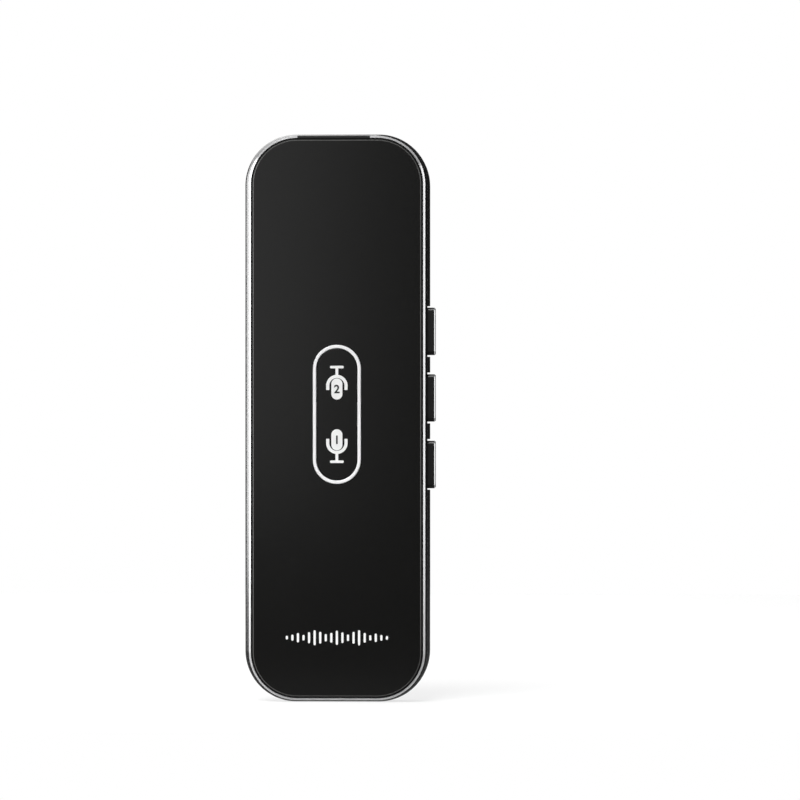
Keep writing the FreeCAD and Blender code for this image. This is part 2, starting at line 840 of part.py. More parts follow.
def battery_cell():
    """The soft pouch cell, with rounded long edges, lying on its tape on the board."""
    y0 = board_back_y + battery_tape_thickness
    half_w = battery_width / 2
    top_z = battery_bottom_z + battery_height
    cell = box(battery_x - half_w, battery_x + half_w, y0, y0 + battery_thickness, battery_bottom_z, top_z)
    long_edges = [edge for edge in cell.Edges if edge.BoundBox.ZLength > battery_height / 2]
    return cell.makeFillet(battery_round, long_edges)


def battery_tape():
    half_w = battery_width / 2 - battery_tape_margin
    low_z = battery_bottom_z + battery_tape_margin
    high_z = battery_bottom_z + battery_height - battery_tape_margin
    y1 = board_back_y + battery_tape_thickness
    return box(battery_x - half_w, battery_x + half_w, board_back_y, y1, low_z, high_z)


def circuit_middle_y():
    return board_back_y + battery_tape_thickness + battery_thickness / 2


def battery_circuit():
    """The protection circuit folded against the top end of the cell."""
    half_w = circuit_width / 2
    half_t = circuit_thickness / 2
    z0 = battery_bottom_z + battery_height
    y = circuit_middle_y()
    return box(battery_x - half_w, battery_x + half_w, y - half_t, y + half_t, z0, z0 + circuit_height)


def header_bottom_z():
    return battery_bottom_z + battery_height + circuit_height + lead_rise


def battery_leads():
    """Two wires from the protection circuit to the plug."""
    low_z = battery_bottom_z + battery_height + circuit_height
    high_z = header_bottom_z()
    near_y = circuit_middle_y()
    far_y = board_back_y + header_thickness / 2
    third = lead_rise / 3
    leads = []
    for side in (-1, 1):
        x = connector_x + side * lead_spacing / 2
        points = [
            Vec(x, near_y, low_z),
            Vec(x, near_y, low_z + third),
            Vec(x, far_y, high_z - third),
            Vec(x, far_y, high_z),
        ]
        leads.append(tube(points, lead_radius, lead_bend_radius))
    return leads


def battery_plug():
    z0 = header_bottom_z()
    half_w = header_width / 2 - header_wall - plug_gap
    y0 = board_back_y + header_wall + plug_gap
    y1 = board_back_y + header_thickness - header_wall - plug_gap
    top_z = z0 + header_height - header_wall - plug_gap
    return box(connector_x - half_w, connector_x + half_w, y0, y1, z0, top_z)


def battery_header():
    """The board's battery connector, open towards the battery."""
    z0 = header_bottom_z()
    half_w = header_width / 2
    y1 = board_back_y + header_thickness
    header = box(connector_x - half_w, connector_x + half_w, board_back_y, y1, z0, z0 + header_height)
    inner_w = half_w - header_wall
    inner_top = z0 + header_height - header_wall
    inner_y0 = board_back_y + header_wall
    hollow = box(connector_x - inner_w, connector_x + inner_w, inner_y0, y1 - header_wall, z0 - overcut, inner_top)
    return header.cut(hollow)


def speaker_front_y():
    return cover_inner_y - mesh_thickness - gasket_thickness


def speaker_mesh():
    return rod_y(0, cover_inner_y - mesh_thickness, cover_inner_y, speaker_z, speaker_radius)


def speaker_gasket():
    y0 = speaker_front_y()
    y1 = cover_inner_y - mesh_thickness
    ring = rod_y(0, y0, y1, speaker_z, speaker_radius)
    return ring.cut(rod_y(0, y0, y1, speaker_z, speaker_radius - speaker_rim_width))


def speaker_basket():
    """A shallow dish with a rim, open in the middle for the yoke."""
    y1 = speaker_front_y()
    y0 = y1 - basket_depth
    dish = rod_y(0, y0, y1, speaker_z, speaker_radius)
    hollow = rod_y(0, y0 + basket_wall, y1, speaker_z, speaker_radius - speaker_rim_width)
    return dish.cut([hollow, rod_y(0, y0, y1, speaker_z, yoke_radius)])


def yoke_bottom_y():
    return speaker_front_y() - speaker_height


def speaker_yoke():
    y0 = yoke_bottom_y()
    cup = rod_y(0, y0, y0 + yoke_height, speaker_z, yoke_radius)
    return cup.cut(rod_y(0, y0 + yoke_wall, y0 + yoke_height, speaker_z, yoke_radius - yoke_wall))


def speaker_magnet():
    y0 = yoke_bottom_y() + yoke_wall
    return rod_y(0, y0, y0 + magnet_height, speaker_z, magnet_radius)


def cone_foot_y():
    return yoke_bottom_y() + yoke_height + coil_reach


def voice_coil():
    y1 = cone_foot_y()
    coil = rod_y(0, y1 - coil_height, y1, speaker_z, coil_radius)
    return coil.cut(rod_y(0, y1 - coil_height, y1, speaker_z, coil_radius - coil_wall))


def speaker_cone():
    """A thin shallow cone from the basket's rim in to the voice coil, with a flat middle."""
    foot_y = cone_foot_y()
    wide = speaker_radius - speaker_rim_width - cone_thickness
    outer_y = foot_y + cone_rise
    points = [
        Vec(0, foot_y, speaker_z),
        Vec(coil_radius, foot_y, speaker_z),
        Vec(wide, outer_y, speaker_z),
        Vec(wide + cone_thickness, outer_y, speaker_z),
        Vec(wide + cone_thickness, outer_y + cone_thickness, speaker_z),
        Vec(wide, outer_y + cone_thickness, speaker_z),
        Vec(coil_radius, foot_y + cone_thickness, speaker_z),
        Vec(0, foot_y + cone_thickness, speaker_z),
    ]
    section = Part.Face(Part.makePolygon(points + [points[0]]))
    return section.revolve(Vec(0, 0, speaker_z), Vec(0, 1, 0), 360)


def speaker_contacts():
    """Two sprung strips that join the board to the speaker's basket."""
    low_y = board_back_y
    high_y = speaker_front_y() - basket_depth
    contacts = []
    for side in (-1, 1):
        x = side * contact_x
        z0 = speaker_z - contact_foot - contact_run / 2
        z1 = z0 + contact_foot
        z2 = z1 + contact_run
        z3 = z2 + contact_foot
        points = [
            Vec(x, low_y, z0),
            Vec(x, low_y, z1),
            Vec(x, high_y - contact_strip, z2),
            Vec(x, high_y - contact_strip, z3),
            Vec(x, high_y, z3),
            Vec(x, high_y, z2 - contact_strip),
            Vec(x, low_y + contact_strip, z1 - contact_strip),
            Vec(x, low_y + contact_strip, z0),
        ]
        section = Part.Face(Part.makePolygon(points + [points[0]]))
        strip = section.extrude(Vec(contact_width, 0, 0))
        strip.translate(Vec(-contact_width / 2, 0, 0))
        contacts.append(strip)
    return contacts


def bluetooth_antenna():
    """A bent metal strip under the top wall, with a leg soldered to the front of the board."""
    top_z = cavity_top_z - antenna_gap
    leg_y = board_front_y - antenna_strip
    bar = box(antenna_left_x, antenna_right_x, web_back_y + antenna_web_gap, board_front_y, top_z - antenna_strip, top_z)
    leg_x0 = antenna_right_x - antenna_leg_width
    leg = box(leg_x0, antenna_right_x, leg_y, board_front_y, board_top_z - antenna_leg_overlap, top_z)
    return bar.fuse(leg)


def light_guide():
    """A clear rod through the web that carries the lamp's light to the dark panel."""
    lamp_face_y = board_front_y - lamp_thickness
    rod = rod_y(light_x, web_front_y, lamp_face_y - lamp_gap, light_z, light_guide_radius)
    collar = rod_y(light_x, web_back_y, web_back_y + light_collar_thickness, light_z, light_collar_radius)
    return rod.fuse(collar)


def status_lamp():
    y0 = board_front_y - lamp_thickness
    half_w = lamp_width / 2
    half_h = lamp_height / 2
    return box(light_x - half_w, light_x + half_w, y0, board_front_y, light_z - half_h, light_z + half_h)


def board_part(x, z, width, height, thickness):
    half_w = width / 2
    half_h = height / 2
    return box(x - half_w, x + half_w, board_back_y, board_back_y + thickness, z - half_h, z + half_h)


def shield_can():
    """The pressed metal lid over the radio, open towards the board."""
    x, z, width, height, thickness = shield_box
    can = board_part(x, z, width, height, thickness)
    inside = board_part(x, z, width - 2 * shield_wall, height - 2 * shield_wall, thickness - shield_wall)
    return can.cut(inside)


def board_capacitors():
    blocks = []
    for first_x, z, row_length in capacitor_rows:
        for number in range(round(row_length / capacitor_pitch)):
            x = first_x + number * capacitor_pitch
            blocks.append(board_part(x, z, capacitor_width, capacitor_height, capacitor_thickness))
    return blocks


def save(name, shape):
    """Write one node. A list of solids is written as one group."""
    if isinstance(shape, list):
        shape = Part.makeCompound(shape)
    shape.exportStep(f"parts/{name}.step")


nodes = {
    "front_housing": front_housing(),
    "antenna_window": antenna_window(),
    "side_frame": side_frame(),
    "rear_cover": rear_cover(),
    "front_panel": front_panel(),
    "panel_tape": panel_tape(),
    "key_ring": key_ring(),
    "rocker_key": rocker_key(),
    "rocker_pin": rocker_pin(),
    "pivot_bracket": pivot_bracket(),
    "bracket_screws": bracket_screws(),
    "key_mat": key_mat(),
    "housing_screws": housing_screws(),
    "board_screws": board_screws(),
    "main_board": main_board(),
    "charging_socket": charging_socket(),
    "socket_tongue": socket_tongue(),
    "bottom_microphone": microphone(cavity_bottom_z, 1),
    "bottom_microphone_boot": microphone_boot(cavity_bottom_z, 1),
    "top_microphone": microphone(cavity_top_z, -1),
    "top_microphone_boot": microphone_boot(cavity_top_z, -1),
    "battery_cell": battery_cell(),
    "battery_tape": battery_tape(),
    "battery_circuit": battery_circuit(),
    "battery_leads": battery_leads(),
    "battery_plug": battery_plug(),
    "battery_header": battery_header(),
    "speaker_mesh": speaker_mesh(),
    "speaker_gasket": speaker_gasket(),
    "speaker_basket": speaker_basket(),
    "speaker_yoke": speaker_yoke(),
    "speaker_magnet": speaker_magnet(),
    "voice_coil": voice_coil(),
    "speaker_cone": speaker_cone(),
    "speaker_contacts": speaker_contacts(),
    "bluetooth_antenna": bluetooth_antenna(),
    "light_guide": light_guide(),
    "status_lamp": status_lamp(),
    "shield_can": shield_can(),
    "board_capacitors": board_capacitors(),
}
for name, sizes in chip_boxes.items():
    nodes[name] = board_part(*sizes)
for number, name in enumerate(button_names):
    nodes[f"{name}_button"] = side_button(number)
    nodes[f"{name}_plunger"] = switch_plunger(number)
    nodes[f"{name}_switch"] = side_switch(number)

for name, shape in nodes.items():
    save(name, shape)
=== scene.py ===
import json
import math

import bpy
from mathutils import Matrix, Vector


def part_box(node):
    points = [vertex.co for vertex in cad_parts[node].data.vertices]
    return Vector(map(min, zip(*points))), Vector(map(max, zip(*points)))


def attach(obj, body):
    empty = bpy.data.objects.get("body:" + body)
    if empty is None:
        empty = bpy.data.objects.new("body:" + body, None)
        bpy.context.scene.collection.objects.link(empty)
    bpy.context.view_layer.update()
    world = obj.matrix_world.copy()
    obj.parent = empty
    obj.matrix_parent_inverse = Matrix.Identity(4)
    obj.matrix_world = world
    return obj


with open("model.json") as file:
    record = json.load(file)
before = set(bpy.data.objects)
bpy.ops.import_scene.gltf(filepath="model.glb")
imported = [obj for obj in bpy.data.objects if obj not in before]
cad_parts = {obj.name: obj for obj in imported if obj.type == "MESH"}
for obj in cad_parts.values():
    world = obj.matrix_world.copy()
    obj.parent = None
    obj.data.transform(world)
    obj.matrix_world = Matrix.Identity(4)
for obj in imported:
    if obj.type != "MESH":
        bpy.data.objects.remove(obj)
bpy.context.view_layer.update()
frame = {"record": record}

MM = 0.001

# Camera: a long lens at the height of the case, a little to the right of it
PICTURE_MM = 197.87
PICTURE_CENTRE_MM = (15.37, 0.0, 74.44)
CAMERA_AZIMUTH = 1.9
CAMERA_ELEVATION = 0.0
CAMERA_LENS = 200.0
SENSOR_MM = 36.0

# Places on the front, in millimetres
KEY_Z = 70.9
FACE_Y = -5.5
PRINT_THICKNESS = 0.03
NUMERAL_THICKNESS = 0.015

# The microphone symbol, measured from the middle of its capsule outwards
CAPSULE_HALF_WIDTH = 1.37
CAPSULE_HALF_HEIGHT = 2.6
CAPSULE_OFFSET = 6.25
CRADLE_OUTER = 2.64
CRADLE_STROKE = 0.78
CRADLE_CENTRE = 0.85
CRADLE_CORNER = 0.16
CRADLE_OPEN = -0.25
STEM_HALF_WIDTH = 0.35
STEM_END = 5.4
BASE_HALF_WIDTH = 1.7
BASE_THICKNESS = 0.64
NUMERAL_HEIGHT = 2.1
NUMERAL_TYPE_SIZE = 2.94
NUMERAL_BOLD = 0.07

# The sound-level bars on the lower front
BARS_Z = 15.9
BAR_WIDTH = 0.55
BAR_PITCH = 1.37
BAR_HEIGHTS = (0.9, 1.5, 2.3, 1.4, 2.7, 3.7, 2.9, 1.8, 2.4, 3.5, 2.6, 1.6, 2.9, 3.7, 2.4, 1.3, 2.1, 1.4, 0.9)

# Contacts on the socket's tongue
CONTACT_COUNT = 12
CONTACT_PITCH = 0.5
CONTACT_WIDTH = 0.26
CONTACT_THICKNESS = 0.02
CONTACT_START = 0.4
CONTACT_END = 3.6

ARC_STEPS = 20
RELIEF_DEPTH = 0.02

# Bands painted with a colour of their own, by their limits along one axis in millimetres: painted highlights
# on edges and the seam
PANEL_EDGE_BAND = ("Y", -5.49, -5.26)
FRONT_BEVEL_BAND = ("Y", -5.29, -4.86)
SEAM_BAND = ("Y", -4.02, -3.82)
REAR_BEVEL_BAND = ("Y", 4.86, 5.29)
BUTTON_CHAMFER_BAND = ("X", 23.92, 24.145)

# The colours of these painted bands: colour, roughness, metallic
# Painted highlight on the bevels and the button chamfer. On the bevels it is partly their own bare metal,
# whitened so it stays bright under any lamp; on the plastic button it is painted highlight only
EDGE_METAL_AND_PAINTED_HIGHLIGHT = ((0.9, 0.9, 0.91), 0.2, 0.65)
# Painted highlight line along the seam on the side wall
SEAM_PAINTED_HIGHLIGHT = ((0.3, 0.3, 0.31), 0.35, 0.6)
# Painted highlight on the chamfer round the front panel's edge
PANEL_EDGE_PAINTED_HIGHLIGHT = ((0.075, 0.075, 0.073), 0.35, 0.0)

# The floor, in metres, and how bright it is
FLOOR_FRONT = -0.1
FLOOR_BACK = 0.60
FLOOR_SIDE = 0.70
FLOOR_COLOUR = (0.88, 0.88, 0.88, 1.0)
FLOOR_GLOW_SHARE = 0.7
FLOOR_GLOW = 1.04
FLOOR_REFLECTED = 0.25
WHITE = (1.0, 1.0, 1.0, 1.0)

# What the lamps are aimed at, in metres
AIM = (0.0, 0.0, 0.07)


# Materials

def add(tree, kind, **inputs):
    """A shader node with some of its inputs set."""
    node = tree.nodes.new(kind)
    for name, value in inputs.items():
        node.inputs[name.replace("_", " ")].default_value = value
    return node


def math_node(tree, operation, first, second):
    node = tree.nodes.new("ShaderNodeMath")
    node.operation = operation
    for socket, value in zip(node.inputs, (first, second)):
        if isinstance(value, (int, float)):
            socket.default_value = value
        else:
            tree.links.new(value, socket)
    return node.outputs[0]


def blend_values(tree, mask, first, second):
    """A number that goes from first to second as mask goes from 0 to 1."""
    node = tree.nodes.new("ShaderNodeMapRange")
    tree.links.new(mask, node.inputs["Value"])
    for name, value in (("To Min", first), ("To Max", second)):
        if isinstance(value, (int, float)):
            node.inputs[name].default_value = value
        else:
            tree.links.new(value, node.inputs[name])
    return node.outputs["Result"]


def blend_colours(tree, mask, first, second):
    node = tree.nodes.new("ShaderNodeMix")
    node.data_type = "RGBA"
    tree.links.new(mask, node.inputs["Factor"])
    for name, value in (("A", first), ("B", second)):
        socket = [s for s in node.inputs if s.name == name and s.type == "RGBA"][0]
        if isinstance(value, tuple):
            socket.default_value = (*value, 1.0)
        else:
            tree.links.new(value, socket)
    return [s for s in node.outputs if s.type == "RGBA"][0]


def noise(tree, coordinates, scale, detail=2.0):
    node = add(tree, "ShaderNodeTexNoise", Scale=scale, Detail=detail)
    tree.links.new(coordinates, node.inputs["Vector"])
    return node.outputs["Fac"]


def look(name, colour, roughness, metallic=0.0, grain=1500.0, colour_spread=0.12, rough_spread=0.05,
         bump=0.0, bump_scale=4000.0, bands=(), stretch=None, **sockets):
    """A procedural finish. Each of bands pairs a band with the colour, roughness and metallic painted in it,
    a painted highlight.
    """
    material = bpy.data.materials.new(name)
    material.use_nodes = True
    tree = material.node_tree
    shader = tree.nodes["Principled BSDF"]
    coordinates = tree.nodes.new("ShaderNodeTexCoord").outputs["Object"]
    grain_coordinates = coordinates
    if stretch:
        mapping = tree.nodes.new("ShaderNodeMapping")
        mapping.inputs["Scale"].default_value = stretch
        tree.links.new(coordinates, mapping.inputs["Vector"])
        grain_coordinates = mapping.outputs["Vector"]
    speckle = noise(tree, grain_coordinates, grain)
    dark = tuple(c * (1 - colour_spread) for c in colour)
    light = tuple(min(1.0, c * (1 + colour_spread)) for c in colour)
    base = blend_colours(tree, speckle, dark, light)
    rough = blend_values(tree, speckle, roughness - rough_spread, roughness + rough_spread)
    shader.inputs["Metallic"].default_value = metallic
    if bands:
        parts = tree.nodes.new("ShaderNodeSeparateXYZ")
        tree.links.new(coordinates, parts.inputs[0])
        metal = metallic
        # Each band paints its colour over the base by position: painted highlights on bevels, seam, button
        # chamfer and panel edge
        for (axis, low, high), (band_colour, band_roughness, band_metal) in bands:
            above = math_node(tree, "GREATER_THAN", parts.outputs[axis], low * MM)
            below = math_node(tree, "LESS_THAN", parts.outputs[axis], high * MM)
            band = math_node(tree, "MULTIPLY", above, below)
            base = blend_colours(tree, band, base, band_colour)
            rough = blend_values(tree, band, rough, band_roughness)
            metal = blend_values(tree, band, metal, band_metal)
        tree.links.new(metal, shader.inputs["Metallic"])
    tree.links.new(base, shader.inputs["Base Color"])
    tree.links.new(rough, shader.inputs["Roughness"])
    if bump:
        relief = add(tree, "ShaderNodeBump", Strength=bump, Distance=RELIEF_DEPTH * MM)
        tree.links.new(noise(tree, grain_coordinates, bump_scale, 3.0), relief.inputs["Height"])
        tree.links.new(relief.outputs["Normal"], shader.inputs["Normal"])
    for socket, value in sockets.items():
        shader.inputs[socket.replace("_", " ")].default_value = value
    return material


LOOKS = {
    # The bands in these looks paint highlights: the bevels (partly their own bare metal too), the seam, the
    # panel's edge and the button chamfer
    "polished_black_metal": look("polished_black_metal_look", (0.004, 0.004, 0.0042), 0.2,
                                 bands=[(FRONT_BEVEL_BAND, EDGE_METAL_AND_PAINTED_HIGHLIGHT)], Specular_IOR_Level=0.35),
    "black_metal": look("black_metal_look", (0.004, 0.004, 0.0042), 0.22, Specular_IOR_Level=0.35,
                        bands=[(REAR_BEVEL_BAND, EDGE_METAL_AND_PAINTED_HIGHLIGHT), (SEAM_BAND, SEAM_PAINTED_HIGHLIGHT)]),
    "black_plastic": look("black_plastic_look", (0.004, 0.004, 0.004), 0.32, bump=0.05,
                          Specular_IOR_Level=0.35),
    "textured_metal": look("textured_metal_look", (0.012, 0.0138, 0.0142), 0.42, grain=2000.0,
                           colour_spread=0.8, rough_spread=0.14, bump=1.0, bump_scale=2200.0),
    "black_glass_panel": look("black_glass_panel_look", (0.0028, 0.0028, 0.0025), 0.4, grain=120.0,
                              rough_spread=0.02, bands=[(PANEL_EDGE_BAND, PANEL_EDGE_PAINTED_HIGHLIGHT)],
                              Specular_IOR_Level=0.12, Coat_Weight=1.0, Coat_Roughness=0.16, Coat_IOR=1.35),
    "gloss_key": look("gloss_key_look", (0.0027, 0.0027, 0.0024), 0.38, grain=160.0, rough_spread=0.02,
                      Specular_IOR_Level=0.12, Coat_Weight=1.0, Coat_Roughness=0.16, Coat_IOR=1.35),
    "chrome_trim": look("chrome_trim_look", (0.96, 0.96, 0.965), 0.3, grain=2500.0,
                        colour_spread=0.02, rough_spread=0.04),
    # The chamfer round the button's outer face is painted with a highlight
    "button_plastic": look("button_plastic_look", (0.004, 0.004, 0.004), 0.3,
                           bands=[(BUTTON_CHAMFER_BAND, EDGE_METAL_AND_PAINTED_HIGHLIGHT)]),
    "white_plastic": look("white_plastic_look", (0.86, 0.85, 0.83), 0.42, colour_spread=0.03, bump=0.05),
    "clear_plastic": look("clear_plastic_look", (0.93, 0.94, 0.95), 0.12, colour_spread=0.02,
                          rough_spread=0.02, Transmission_Weight=0.9),
    "silicone": look("silicone_look", (0.06, 0.06, 0.062), 0.6, bump=0.2),
    "adhesive": look("adhesive_look", (0.03, 0.03, 0.03), 0.5, grain=900.0, colour_spread=0.2),
    "steel": look("steel_look", (0.55, 0.55, 0.56), 0.28, 1.0, grain=4000.0, colour_spread=0.08,
                  stretch=(1.0, 1.0, 0.06), bump=0.08),
    "circuit_board": look("circuit_board_look", (0.006, 0.045, 0.022), 0.35, grain=700.0,
                          colour_spread=0.4, bump=0.15, bump_scale=900.0),
    "aluminium_can": look("aluminium_can_look", (0.72, 0.72, 0.74), 0.3, 1.0, grain=3000.0,
                          colour_spread=0.06),
    "battery_foil": look("battery_foil_look", (0.6, 0.61, 0.62), 0.38, 0.9, grain=300.0,
                         colour_spread=0.1, rough_spread=0.1, bump=0.3, bump_scale=500.0),
    "wire_sleeve": look("wire_sleeve_look", (0.42, 0.02, 0.02), 0.4, colour_spread=0.1),
    "dust_mesh": look("dust_mesh_look", (0.012, 0.012, 0.012), 0.8, grain=6000.0, colour_spread=0.6,
                      bump=0.8, bump_scale=5000.0),
    "foam": look("foam_look", (0.03, 0.03, 0.03), 0.9, grain=3500.0, colour_spread=0.4, bump=0.7),
    "copper": look("copper_look", (0.72, 0.5, 0.28), 0.3, 1.0, colour_spread=0.08),
    "cone_film": look("cone_film_look", (0.05, 0.05, 0.05), 0.35, grain=900.0, bump=0.1),
    "capacitor_ceramic": look("capacitor_ceramic_look", (0.42, 0.3, 0.19), 0.55, colour_spread=0.15),
    "chip_plastic": look("chip_plastic_look", (0.02, 0.02, 0.021), 0.6, grain=5000.0,
                         colour_spread=0.3, bump=0.3),
}
WHITE_PRINT = look("white_print_look", (0.93, 0.93, 0.925), 0.45, colour_spread=0.02, bump=0.05)
BLACK_PRINT = look("black_print_look", (0.012, 0.012, 0.012), 0.45, colour_spread=0.1, bump=0.05)
GOLD_CONTACT = look("gold_contact_look", (0.85, 0.6, 0.25), 0.22, 1.0, colour_spread=0.05)

slot_of_node = {part["node"]: part["material_slot"] for part in frame["record"]["subparts"]}
for node_name, slot_name in slot_of_node.items():
    node_object = bpy.data.objects[node_name]
    for material_slot in node_object.material_slots:
        material_slot.material = LOOKS[slot_name]


# Printed symbols: flat raised shapes on the front, drawn as outlines in the X-Z plane

def arc(centre_x, centre_z, radius, start, end):
    points = []
    for step in range(ARC_STEPS + 1):
        angle = math.radians(start + (end - start) * step / ARC_STEPS)
        points.append((centre_x + radius * math.cos(angle), centre_z + radius * math.sin(angle)))
    return points


def upright_oval(x, z, half_width, half_height):
    reach = half_height - half_width
    return arc(x, z + reach, half_width, 0, 180) + arc(x, z - reach, half_width, 180, 360)


def microphone_stand():
    """The U round the capsule with its stem and base, as one outline."""
    inner = CRADLE_OUTER - CRADLE_STROKE
    half_base = BASE_THICKNESS / 2
    meeting = math.degrees(math.acos(STEM_HALF_WIDTH / CRADLE_OUTER))
    base_reach = BASE_HALF_WIDTH - half_base
    base_low = STEM_END - half_base
    corner = CRADLE_CORNER
    outline = arc(0, CRADLE_CENTRE, CRADLE_OUTER, 0, meeting)
    outline += [(STEM_HALF_WIDTH, base_low)]
    outline += arc(base_reach, STEM_END, half_base, -90, 90)
    outline += arc(-base_reach, STEM_END, half_base, 90, 270)
    outline += [(-STEM_HALF_WIDTH, base_low)]
    outline += arc(0, CRADLE_CENTRE, CRADLE_OUTER, 180 - meeting, 180)
    outline += arc(-CRADLE_OUTER + corner, CRADLE_OPEN + corner, corner, 180, 270)
    outline += arc(-inner - corner, CRADLE_OPEN + corner, corner, 270, 360)
    outline += arc(0, CRADLE_CENTRE, inner, 180, 0)
    outline += arc(inner + corner, CRADLE_OPEN + corner, corner, 180, 270)
    outline += arc(CRADLE_OUTER - corner, CRADLE_OPEN + corner, corner, 270, 360)
    return outline


def printed_mesh(name, outlines, front_y, thickness):
    """One mesh from closed outlines in millimetres, whose front face is at depth front_y."""
    curve = bpy.data.curves.new(name + "_outline", "CURVE")
    curve.dimensions = "2D"
    curve.fill_mode = "BOTH"
    curve.extrude = thickness / 2 * MM
    for outline in outlines:
        spline = curve.splines.new("POLY")
        spline.points.add(len(outline) - 1)
        for point, (x, z) in zip(spline.points, outline):
            point.co = (x * MM, z * MM, 0.0, 1.0)
        spline.use_cyclic_u = True
    return mesh_from_curve(name, curve, front_y, thickness)


def mesh_from_curve(name, curve, front_y, thickness):
    """Turn a flat curve into a mesh that stands upright, facing -Y."""
    carrier = bpy.data.objects.new(name + "_carrier", curve)
    bpy.context.scene.collection.objects.link(carrier)
    depsgraph = bpy.context.evaluated_depsgraph_get()
    mesh = bpy.data.meshes.new_from_object(carrier.evaluated_get(depsgraph))
    bpy.data.objects.remove(carrier)
    middle_y = (front_y + thickness / 2) * MM
    for vertex in mesh.vertices:
        x, height, depth = vertex.co
        vertex.co = (x, middle_y - depth, height)
    mesh.name = name
    return mesh


def place(name, mesh, material, body):
    mesh.materials.clear()
    mesh.materials.append(material)
    piece = bpy.data.objects.new(name, mesh)
    bpy.context.scene.collection.objects.link(piece)
    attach(piece, body)
    return piece


def microphone_symbol(name, side):
    """One print, whose middle height is returned. side is 1 for the upper symbol, which is upside down,
    and -1 for the lower one.
    """
    middle_z = KEY_Z + side * CAPSULE_OFFSET
    capsule = upright_oval(0, 0, CAPSULE_HALF_WIDTH, CAPSULE_HALF_HEIGHT)
    turned = []
    for outline in (capsule, microphone_stand()):
        turned.append([(x * side, middle_z + z * side) for x, z in outline])
    mesh = printed_mesh(name, turned, FACE_Y - PRINT_THICKNESS, PRINT_THICKNESS)
    place(name, mesh, WHITE_PRINT, "rocker")
    return middle_z


def numeral(name, text, middle_z):
    """A dark numeral on the capsule, centred and upright."""
    curve = bpy.data.curves.new(name + "_outline", "FONT")
    curve.body = text
    curve.size = NUMERAL_TYPE_SIZE * MM
    curve.offset = NUMERAL_BOLD * MM
    curve.extrude = NUMERAL_THICKNESS / 2 * MM
    front_y = FACE_Y - PRINT_THICKNESS - NUMERAL_THICKNESS
    mesh = mesh_from_curve(name, curve, front_y, NUMERAL_THICKNESS)
    xs = [v.co.x for v in mesh.vertices]
    zs = [v.co.z for v in mesh.vertices]
    scale = NUMERAL_HEIGHT * MM / (max(zs) - min(zs))
    centre_x = (max(xs) + min(xs)) / 2
    centre_z = (max(zs) + min(zs)) / 2
    for vertex in mesh.vertices:
        vertex.co.x = (vertex.co.x - centre_x) * scale
        vertex.co.z = middle_z * MM + (vertex.co.z - centre_z) * scale
    place(name, mesh, BLACK_PRINT, "rocker")


upper_z = microphone_symbol("upper_symbol", 1)
lower_z = microphone_symbol("lower_symbol", -1)
numeral("upper_numeral", "2", upper_z)
numeral("lower_numeral", "1", lower_z)

bar_outlines = []
for number, height in enumerate(BAR_HEIGHTS):
    bar_x = (number - (len(BAR_HEIGHTS) - 1) / 2) * BAR_PITCH
    bar_outlines.append(upright_oval(bar_x, BARS_Z, BAR_WIDTH / 2, height / 2))
bars = printed_mesh("level_bars", bar_outlines, FACE_Y - PRINT_THICKNESS, PRINT_THICKNESS)
place("level_bars", bars, WHITE_PRINT, "case")


# Gold contacts on both faces of the socket's tongue

def box_mesh(name, boxes):
    """One mesh from boxes given by their lowest and highest corners, in metres."""
    vertices = []
    faces = []
    for low, high in boxes:
        first = len(vertices)
        for x in (low[0], high[0]):
            for y in (low[1], high[1]):
                for z in (low[2], high[2]):
                    vertices.append((x, y, z))
        for face in ((0, 1, 3, 2), (4, 6, 7, 5), (0, 4, 5, 1), (2, 3, 7, 6), (0, 2, 6, 4), (1, 5, 7, 3)):
            faces.append([first + corner for corner in face])
    mesh = bpy.data.meshes.new(name)
    mesh.from_pydata(vertices, [], faces)
    mesh.update()
    return mesh


tongue_low, tongue_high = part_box("socket_tongue")
half = CONTACT_WIDTH / 2 * MM
skin = CONTACT_THICKNESS * MM
low_z = tongue_low[2] + CONTACT_START * MM
high_z = tongue_low[2] + CONTACT_END * MM
contact_boxes = []
for number in range(CONTACT_COUNT):
    contact_x = (number - (CONTACT_COUNT - 1) / 2) * CONTACT_PITCH * MM
    for low_y, high_y in ((tongue_low[1] - skin, tongue_low[1]), (tongue_high[1], tongue_high[1] + skin)):
        contact_boxes.append(((contact_x - half, low_y, low_z), (contact_x + half, high_y, high_z)))
place("socket_contacts", box_mesh("socket_contacts", contact_boxes), GOLD_CONTACT, "case")


# Floor, world and lamps

def studio_white(name, direct_share, reflected_level):
    """Seen directly, a share of it glows white and the rest takes the lamps' light and shadow.

    In reflections it glows at its own level.
    """
    material = bpy.data.materials.new(name)
    material.use_nodes = True
    tree = material.node_tree
    tree.nodes.clear()
    output = tree.nodes.new("ShaderNodeOutputMaterial")
    path = tree.nodes.new("ShaderNodeLightPath")
    reflected = math_node(tree, "MAXIMUM", path.outputs["Is Glossy Ray"], path.outputs["Is Transmission Ray"])
    direct = math_node(tree, "MULTIPLY", path.outputs["Is Camera Ray"], direct_share)
    share = math_node(tree, "MAXIMUM", direct, reflected)
    diffuse = add(tree, "ShaderNodeBsdfDiffuse", Color=FLOOR_COLOUR)
    glow = add(tree, "ShaderNodeEmission", Color=WHITE)
    tree.links.new(blend_values(tree, reflected, FLOOR_GLOW, reflected_level), glow.inputs["Strength"])
    mix = tree.nodes.new("ShaderNodeMixShader")
    tree.links.new(share, mix.inputs[0])
    tree.links.new(diffuse.outputs[0], mix.inputs[1])
    tree.links.new(glow.outputs[0], mix.inputs[2])
    tree.links.new(mix.outputs[0], output.inputs["Surface"])
    return material


